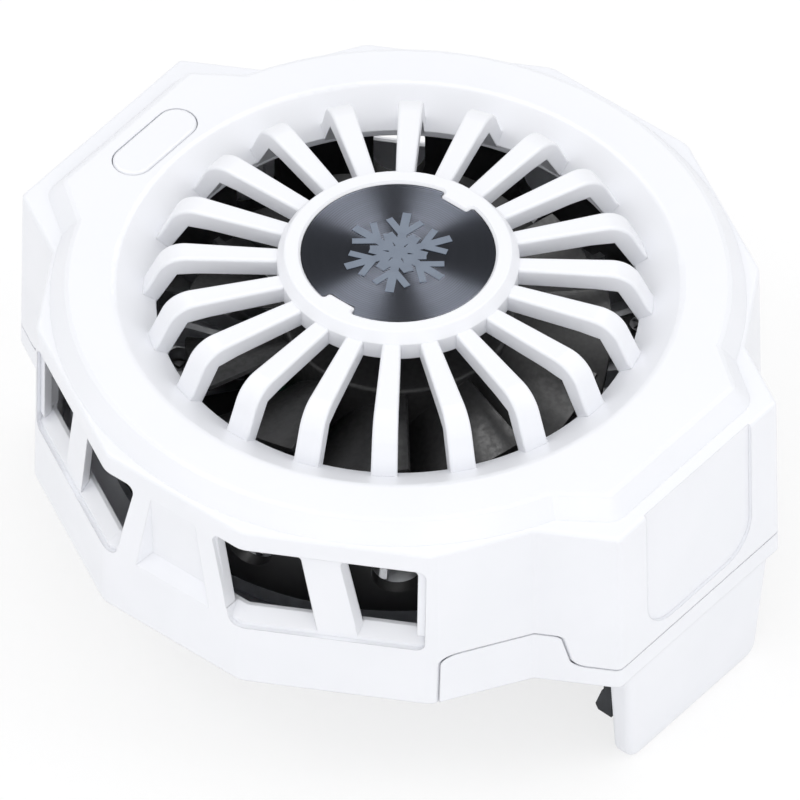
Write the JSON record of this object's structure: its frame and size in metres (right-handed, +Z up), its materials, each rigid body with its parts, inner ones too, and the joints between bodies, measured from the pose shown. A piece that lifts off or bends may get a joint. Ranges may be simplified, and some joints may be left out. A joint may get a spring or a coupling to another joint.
{
  "type": "phone cooling fan",
  "caption": "Clip-on phone cooler: a drum with a round spoked grille over a fan, side vents, and one sliding jaw.",
  "frame": {"origin": "midway between the two jaws and centred across, level with the jaw tips", "axes": "+Z up from the phone side to the grille, +X towards the sliding jaw"},
  "size_m": [0.078, 0.0716, 0.0405],
  "materials": {
    "white_shell": "satin gloss moulded white",
    "white_button": "satin gloss moulded white",
    "spun_metal": "turned concentric grooves, anodised near black",
    "badge_print": "pale blue-grey print",
    "black_rubber": "matt moulded rubber",
    "spring_steel": "drawn wire",
    "thermal_silicone": "soft grey silicone",
    "plate_aluminium": "milled",
    "sink_aluminium": "die cast, plain",
    "ceramic": "fired ceramic",
    "pellet_metal": "dull cast",
    "foam": "closed-cell foam",
    "black_frame": "matt moulded black",
    "fan_blades": "matt grainy dark grey",
    "green_board": "green solder mask",
    "brass": "turned",
    "core_steel": "stacked laminations",
    "copper_winding": "enamelled copper",
    "magnet": "bonded ferrite",
    "cup_steel": "drawn steel",
    "shaft_steel": "ground steel",
    "switch_body": "moulded black",
    "socket_steel": "drawn steel",
    "screw_steel": "plated steel"
  },
  "bodies": {
    "housing": {"top_shell": "white_shell", "base_shell": "white_shell", "hub_disc": "spun_metal", "snowflake_badge": "badge_print", "fixed_jaw_pad": "black_rubber", "return_spring_left": "spring_steel", "return_spring_right": "spring_steel", "thermal_pad": "thermal_silicone", "cold_plate": "plate_aluminium", "heat_sink": "sink_aluminium", "module_cold_ceramic": "ceramic", "module_hot_ceramic": "ceramic", "module_pellets": "pellet_metal", "insulating_gasket": "foam", "fan_frame": "black_frame", "fan_board": "green_board", "control_board": "green_board", "bearing_sleeve": "brass", "stator_core": "core_steel", "stator_windings": "copper_winding", "tact_switch": "switch_body", "switch_dome": "spring_steel", "usb_socket": "socket_steel", "base_screws": "screw_steel", "control_board_screws": "screw_steel", "heat_sink_screws": "screw_steel", "fan_frame_screws": "screw_steel"},
    "clamp": {"clamp_carriage": "white_shell", "moving_jaw_pad": "black_rubber"},
    "rotor": {"impeller": "fan_blades", "rotor_cup": "cup_steel", "magnet_ring": "magnet", "fan_shaft": "shaft_steel"},
    "button": {"power_button": "white_button", "switch_plunger": "switch_body"}
  },
  "joints": [
    {"name": "clamp_slide", "type": "slide", "parent": "housing", "child": "clamp", "axis": [1, 0, 0], "range_m": [0, 0.02], "stiffness_N_per_m": 150, "springref_m": -0.012, "deforming": ["return_spring_left", "return_spring_right"]},
    {"name": "fan_spin", "type": "hinge", "parent": "housing", "child": "rotor", "pos_m": [0, 0, 0.0273], "axis": [0, 0, 1], "continuous": true},
    {"name": "button_press", "type": "slide", "parent": "housing", "child": "button", "axis": [0, 0, -1], "range_m": [0, 0.0003], "stiffness_N_per_m": 1200, "springref_m": -0.0005, "deforming": ["switch_dome"]}
  ]
}
